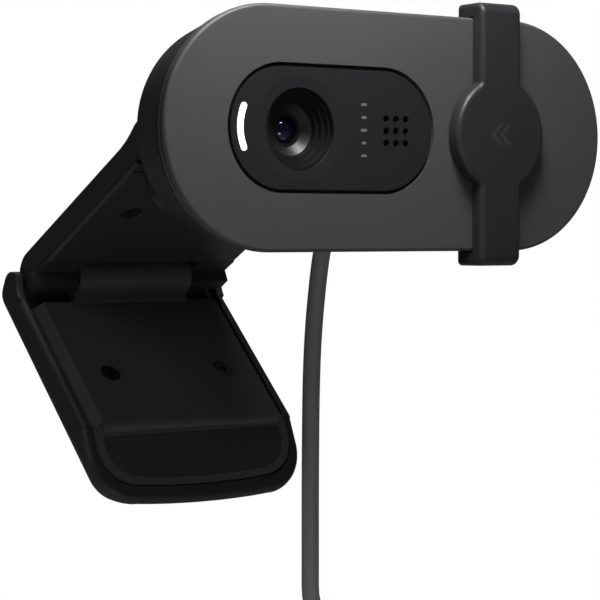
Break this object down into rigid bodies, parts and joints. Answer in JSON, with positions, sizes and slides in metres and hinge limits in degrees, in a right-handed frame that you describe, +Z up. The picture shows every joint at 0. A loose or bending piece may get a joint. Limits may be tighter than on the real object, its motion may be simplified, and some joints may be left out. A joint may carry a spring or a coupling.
{
  "type": "webcam",
  "caption": "Clip-on webcam: pill-shaped head with lens, status light and sliding lens shutter, on a tilt hinge and a folding two-leaf screen clip, with a cable and plug.",
  "frame": {"origin": "centre of the flat seat under the clip arm, where the arm rests on a screen's top edge", "axes": "-Y out of the front of the head, +Z up, +X to the right as seen from the front; the arm is sloped down to the back as clipped in the stated rest pose"},
  "size_m": [0.073, 0.054, 0.1703],
  "materials": {
    "graphite_plastic": "fine satin texture",
    "housing_plastic": "fine satin texture",
    "black_plastic": "satin",
    "panel_plastic": "gloss black",
    "shroud_plastic": "fine rings",
    "lens_glass": "coated",
    "filter_glass": "coated",
    "light_guide": "clear white",
    "led_body": "white",
    "pad_rubber": "soft matt",
    "cable_jacket": "satin",
    "felt": "short pile",
    "zinc_steel": "dark plated",
    "pin_steel": "ground",
    "circuit_board": "solder resist",
    "chip_epoxy": "moulded",
    "sensor_die": "bare die",
    "microphone_can": "plated",
    "header_nylon": "natural",
    "plug_steel": "plated",
    "tongue_plastic": "white",
    "contact_gold": "plated"
  },
  "bodies": {
    "clip_arm": {"arm_cover": "graphite_plastic", "arm_base_plate": "black_plastic", "arm_screws": "zinc_steel", "lip_pad": "pad_rubber", "tilt_pin": "pin_steel", "tilt_washers": "pin_steel", "leg_pin": "pin_steel"},
    "camera_head": {"front_plate": "graphite_plastic", "front_frame": "graphite_plastic", "frame_screws": "zinc_steel", "lens_panel": "panel_plastic", "lens_shroud": "shroud_plastic", "lens_barrel": "black_plastic", "front_lens": "lens_glass", "rear_lens": "lens_glass", "lens_holder": "black_plastic", "ir_filter": "filter_glass", "image_sensor": "sensor_die", "main_board": "circuit_board", "board_screws": "zinc_steel", "video_processor": "chip_epoxy", "board_components": "chip_epoxy", "led_light_guide": "light_guide", "status_led": "led_body", "microphone": "microphone_can", "microphone_boot": "pad_rubber", "cable_header": "header_nylon", "rear_housing": "housing_plastic", "tilt_bracket": "black_plastic", "bracket_screws": "zinc_steel", "cable_relief": "cable_jacket", "usb_cable": "cable_jacket", "cable_coil": "cable_jacket", "cable_tail": "cable_jacket", "cable_tie": "black_plastic", "plug_grip": "black_plastic", "plug_relief": "cable_jacket", "plug_shell": "plug_steel", "plug_tongue": "tongue_plastic", "plug_contacts": "contact_gold"},
    "shutter": {"shutter_slider": "graphite_plastic", "shutter_felts": "felt"},
    "clip_leg": {"leg_inner_plate": "black_plastic", "leg_pad": "pad_rubber", "leg_screws": "zinc_steel", "friction_sleeve": "pin_steel", "leg_shell": "graphite_plastic"}
  },
  "joints": [
    {"name": "head_tilt", "type": "hinge", "parent": "clip_arm", "child": "camera_head", "pos_m": [0, -0.01521, 0.01087], "axis": [-1, 0, 0], "range_deg": [-4, 40]},
    {"name": "clip_hinge", "type": "hinge", "parent": "clip_arm", "child": "clip_leg", "pos_m": [0, 0.01583, -0.00792], "axis": [1, 0, 0], "range_deg": [-45, 50]},
    {"name": "shutter_slide", "type": "slide", "parent": "camera_head", "child": "shutter", "axis": [1, 0, 0], "range_m": [-0.0321, 0]}
  ]
}
